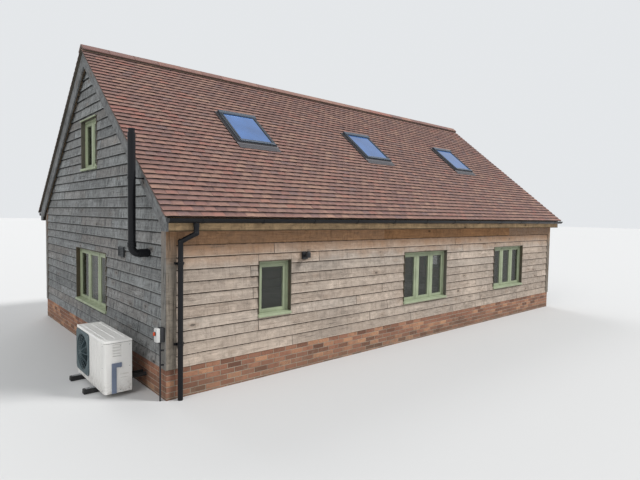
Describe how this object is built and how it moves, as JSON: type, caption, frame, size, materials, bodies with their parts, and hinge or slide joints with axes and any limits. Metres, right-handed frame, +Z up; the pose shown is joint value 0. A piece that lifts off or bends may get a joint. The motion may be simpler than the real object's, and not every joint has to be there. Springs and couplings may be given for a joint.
{
  "type": "weatherboarded outbuilding",
  "caption": "Weatherboarded timber-framed outbuilding on a brick plinth, with a plain-tiled gable roof, green windows, roof windows and an outdoor heat pump.",
  "frame": {"origin": "centre of the plan on the ground, on the underside of the ground floor slab", "axes": "+X along the long walls, away from the gable with the heat pump; +Y from the front wall to the back; +Z up"},
  "size_m": [11.84, 7.2, 5.3076],
  "materials": {
    "concrete": "floated concrete",
    "brick": "orange-red facing brick, lime mortar",
    "frame_timber": "sawn softwood",
    "post_timber": "weathered square posts",
    "front_boards": "silvered feather-edge boards",
    "gable_boards": "grey weathered feather-edge boards",
    "clay_tile": "plain clay tiles, mixed red and brown",
    "eaves_boards": "pale stained eaves boards",
    "barge_timber": "weathered barge boards",
    "black_plastic": "black rainwater and soil goods",
    "green_paint": "sage green painted joinery",
    "glass": "clear double glazing",
    "roof_window_grey": "dark grey coated metal",
    "flashing": "dull grey flashing",
    "lamp_black": "black coated metal",
    "isolator_white": "off-white case on a black base, red knob",
    "pump_white": "off-white powder coat",
    "pump_teal": "dark teal guard",
    "pump_blue": "blue-grey cover",
    "rubber": "black rubber"
  },
  "bodies": {
    "root": {"ground_slab": "concrete", "brick_plinth": "brick", "loft_floor": "frame_timber", "front_wall": "frame_timber", "back_wall": "frame_timber", "service_gable_wall": "frame_timber", "far_gable_wall": "frame_timber", "corner_posts": "post_timber", "front_boarding": "front_boards", "back_boarding": "front_boards", "service_gable_boarding": "gable_boards", "far_gable_boarding": "gable_boards", "front_rafters": "frame_timber", "back_rafters": "frame_timber", "front_tiling": "clay_tile", "back_tiling": "clay_tile", "ridge_tiles": "clay_tile", "fascias_and_soffits": "eaves_boards", "barge_boards": "barge_timber", "front_gutter": "black_plastic", "back_gutter": "black_plastic", "downpipes": "black_plastic", "front_windows": "green_paint", "back_windows": "green_paint", "gable_windows": "green_paint", "window_glass": "glass", "gable_window_glass": "glass", "roof_windows": "roof_window_grey", "roof_window_glass": "glass", "roof_window_flashing": "flashing", "back_door_frame": "green_paint", "back_door": "green_paint", "soil_pipe": "black_plastic", "soil_pipe_bracket": "black_plastic", "wall_vent": "black_plastic", "wall_lamp": "lamp_black", "isolator": "isolator_white", "isolator_conduit": "black_plastic", "heat_pump_casing": "pump_white", "heat_pump_lid": "pump_white", "heat_pump_guard": "pump_teal", "heat_pump_fan": "pump_teal", "heat_pump_valve_cover": "pump_blue", "heat_pump_feet": "rubber", "heat_pump_pipes": "rubber"}
  },
  "joints": []
}
